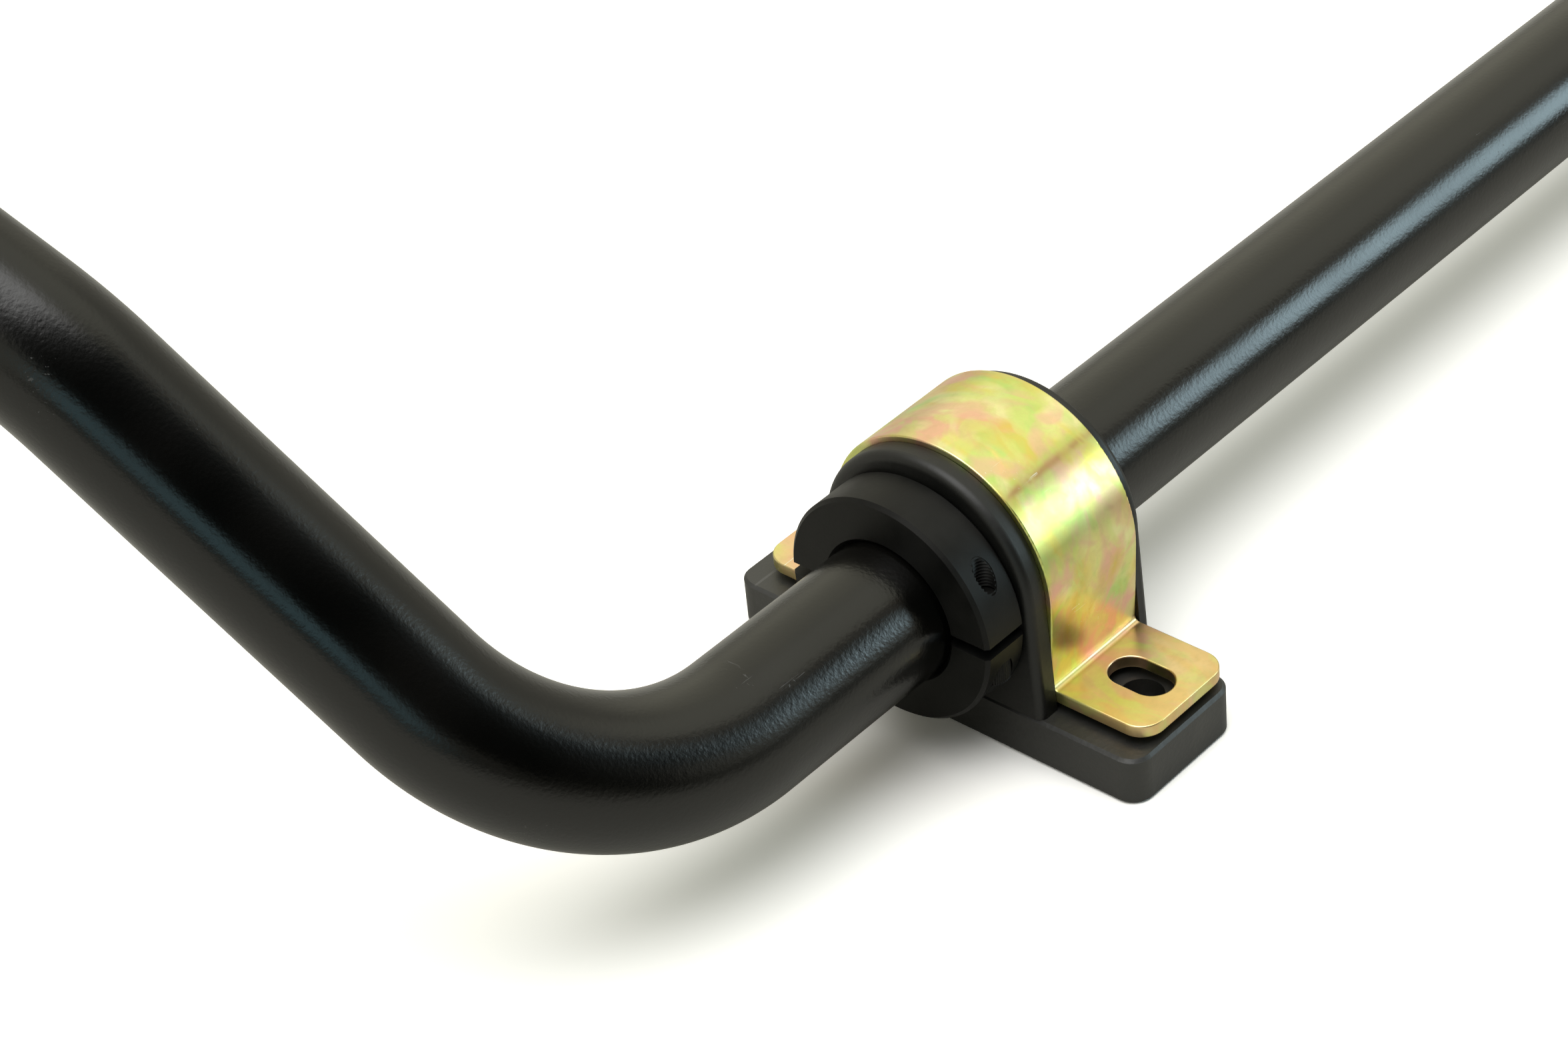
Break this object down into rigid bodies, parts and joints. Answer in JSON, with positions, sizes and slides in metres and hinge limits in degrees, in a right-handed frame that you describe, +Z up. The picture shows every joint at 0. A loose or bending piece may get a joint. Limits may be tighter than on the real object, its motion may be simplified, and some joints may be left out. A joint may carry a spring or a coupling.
{
  "type": "sway bar",
  "caption": "Round vehicle sway bar with cranked arms and forged eyes, turning in D bushes held by slotted U straps on spacer plates, with clamping collars beside them.",
  "frame": {"origin": "in the plane under both base plates, halfway between the two mounts, below the bar axis", "axes": "+X along the straight length of the bar, towards the right end; +Y from the bar towards the arm eyes; +Z up, from the mounting plane to the bar"},
  "size_m": [1.0572, 0.2748, 0.2286],
  "materials": {
    "bar_powder_coat": "satin black powder coat with fine orange peel",
    "plate_black": "matte black coated steel",
    "strap_yellow_zinc": "yellow zinc plate with green, orange and pink patches",
    "bush_polyurethane": "smooth moulded black",
    "collar_black_oxide": "black oxide, satin",
    "screw_black": "black oxide"
  },
  "bodies": {
    "left_mount": {"left_base_plate": "plate_black", "left_strap": "strap_yellow_zinc", "left_bush": "bush_polyurethane"},
    "bar": {"bar": "bar_powder_coat", "left_collar_upper": "collar_black_oxide", "left_collar_lower": "collar_black_oxide", "left_collar_screw_front": "screw_black", "left_collar_screw_rear": "screw_black", "right_collar_upper": "collar_black_oxide", "right_collar_lower": "collar_black_oxide", "right_collar_screw_front": "screw_black", "right_collar_screw_rear": "screw_black"},
    "right_mount": {"right_base_plate": "plate_black", "right_strap": "strap_yellow_zinc", "right_bush": "bush_polyurethane"}
  },
  "joints": [
    {"name": "bar_turn", "type": "hinge", "parent": "left_mount", "child": "bar", "pos_m": [-0.32, 0, 0.036], "axis": [1, 0, 0], "range_deg": [-35, 35]},
    {"name": "right_mount_turn", "type": "hinge", "parent": "bar", "child": "right_mount", "pos_m": [0.32, 0, 0.036], "axis": [1, 0, 0], "range_deg": [-35, 35]}
  ],
  "couplings": [
    {"joint": "right_mount_turn", "follows": "bar_turn", "ratio": -1}
  ]
}
